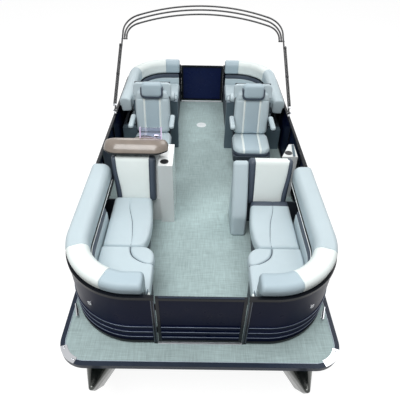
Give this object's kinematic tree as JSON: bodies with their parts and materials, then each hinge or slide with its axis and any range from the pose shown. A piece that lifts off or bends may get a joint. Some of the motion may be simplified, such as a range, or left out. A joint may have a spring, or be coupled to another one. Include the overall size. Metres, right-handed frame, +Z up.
{
  "type": "pontoon boat",
  "caption": "Twin-tube pontoon deck boat with a railed cockpit, four lounges, helm console, swivel chairs and a folded bimini frame, without its outboard motor.",
  "frame": {"origin": "middle of the boat, on the surface that the pontoons' keels stand on", "axes": "+X to port, +Y towards the stern, +Z up"},
  "size_m": [2.59, 6.1288, 2.5424],
  "materials": {
    "polished_aluminium": "brushed marine aluminium, polished at the noses",
    "raw_aluminium": "mill finish",
    "deck_vinyl": "grey woven vinyl",
    "edge_trim": "satin slate",
    "chrome": "polished",
    "black_rail": "gloss black powder coat",
    "navy_panel": "gloss navy",
    "base_shell": "moulded, light grain",
    "slate_shell": "slate vinyl over a moulded shell",
    "upholstery": "light blue-grey marine vinyl",
    "white_upholstery": "white marine vinyl",
    "console_white": "white gelcoat",
    "bronze_cowl": "glossy bronze",
    "black_plastic": "satin",
    "chair_shell": "charcoal",
    "pedestal_grey": "brushed",
    "bimini_black": "satin black"
  },
  "bodies": {
    "hull": {"pontoon_starboard": "polished_aluminium", "pontoon_port": "polished_aluminium", "nose_cones": "polished_aluminium", "cross_members": "raw_aluminium", "deck": "deck_vinyl", "deck_edge_trim": "edge_trim", "corner_caps": "chrome", "cleats": "chrome", "motor_pod": "raw_aluminium", "table_socket": "chrome", "ladder_brackets": "edge_trim", "fence_frame_starboard": "black_rail", "fence_frame_port": "black_rail", "fence_skin_starboard": "navy_panel", "fence_skin_port": "navy_panel", "bow_lounge_bases": "base_shell", "bow_corner_cushions": "upholstery", "bow_backrests": "white_upholstery", "bow_bolster_starboard": "upholstery", "bow_bolster_port": "upholstery", "port_lounge_end": "slate_shell", "stern_lounge_bases": "base_shell", "stern_corner_cushions": "upholstery", "stern_bolster_starboard": "upholstery", "stern_bolster_port": "upholstery", "stern_back_shells": "slate_shell", "stern_back_cushions": "upholstery", "console": "console_white", "dash_cowl": "bronze_cowl", "port_pod": "console_white", "chair_pedestals": "pedestal_grey", "bimini_mounts": "chrome"},
    "bow_gate": {"bow_gate_frame": "black_rail", "bow_gate_skin": "navy_panel"},
    "stern_gate": {"stern_gate_frame": "black_rail", "stern_gate_skin": "navy_panel"},
    "bow_lid_starboard": {"bow_seat_starboard": "upholstery"},
    "bow_lid_port": {"bow_seat_port": "upholstery"},
    "stern_lid_starboard": {"stern_seat_starboard": "upholstery"},
    "stern_lid_port": {"stern_seat_port": "upholstery"},
    "helm_chair": {"helm_chair_shell": "chair_shell", "helm_chair_seat": "upholstery", "helm_chair_back": "upholstery"},
    "companion_chair": {"companion_chair_shell": "chair_shell", "companion_chair_seat": "upholstery", "companion_chair_back": "upholstery"},
    "wheel": {"steering_wheel": "black_plastic"},
    "ladder": {"boarding_ladder": "raw_aluminium"},
    "bimini_main": {"bimini_main_hoop": "bimini_black"},
    "bimini_second": {"bimini_second_hoop": "bimini_black"},
    "bimini_third": {"bimini_third_hoop": "bimini_black"}
  },
  "joints": [
    {"name": "bow_gate_hinge", "type": "hinge", "parent": "hull", "child": "bow_gate", "pos_m": [-0.385, -2.6745, 1.17], "axis": [0, 0, 1], "range_deg": [0, 90]},
    {"name": "stern_gate_hinge", "type": "hinge", "parent": "hull", "child": "stern_gate", "pos_m": [-0.375, 2.2255, 1.17], "axis": [0, 0, -1], "range_deg": [0, 90]},
    {"name": "bow_lid_starboard_hinge", "type": "hinge", "parent": "hull", "child": "bow_lid_starboard", "pos_m": [-1.005, -1.5445, 1.2773], "axis": [0, -1, 0], "range_deg": [0, 80]},
    {"name": "bow_lid_port_hinge", "type": "hinge", "parent": "hull", "child": "bow_lid_port", "pos_m": [1.005, -1.5445, 1.2773], "axis": [0, 1, 0], "range_deg": [0, 80]},
    {"name": "stern_lid_starboard_hinge", "type": "hinge", "parent": "hull", "child": "stern_lid_starboard", "pos_m": [-1.005, 1.1255, 1.2773], "axis": [0, -1, 0], "range_deg": [0, 80]},
    {"name": "stern_lid_port_hinge", "type": "hinge", "parent": "hull", "child": "stern_lid_port", "pos_m": [1.005, 1.1255, 1.2773], "axis": [0, 1, 0], "range_deg": [0, 80]},
    {"name": "helm_chair_swivel", "type": "hinge", "parent": "hull", "child": "helm_chair", "pos_m": [-0.685, 0.0555, 1.12], "axis": [0, 0, 1], "continuous": true},
    {"name": "companion_chair_swivel", "type": "hinge", "parent": "hull", "child": "companion_chair", "pos_m": [0.685, 0.0555, 1.12], "axis": [0, 0, 1], "continuous": true},
    {"name": "steering_wheel_turn", "type": "hinge", "parent": "hull", "child": "wheel", "pos_m": [-0.685, -0.5295, 1.6], "axis": [0, 0.9063, 0.4226], "range_deg": [-540, 540]},
    {"name": "ladder_hinge", "type": "hinge", "parent": "hull", "child": "ladder", "pos_m": [0.82, 3.046, 0.844], "axis": [-1, 0, 0], "range_deg": [0, 255]},
    {"name": "bimini_fold", "type": "hinge", "parent": "hull", "child": "bimini_main", "pos_m": [0, 0.4155, 1.56], "axis": [1, 0, 0], "range_deg": [-20, 95]},
    {"name": "bimini_second_fold", "type": "hinge", "parent": "bimini_main", "child": "bimini_second", "pos_m": [0, 1.51535, 2.195], "axis": [-1, 0, 0], "range_deg": [-20, 80]},
    {"name": "bimini_third_fold", "type": "hinge", "parent": "bimini_main", "child": "bimini_third", "pos_m": [0, 1.51535, 2.195], "axis": [-1, 0, 0], "range_deg": [-20, 80]}
  ],
  "couplings": [
    {"joint": "bimini_second_fold", "follows": "bimini_fold", "ratio": 0.75},
    {"joint": "bimini_third_fold", "follows": "bimini_fold", "ratio": 0.38}
  ]
}
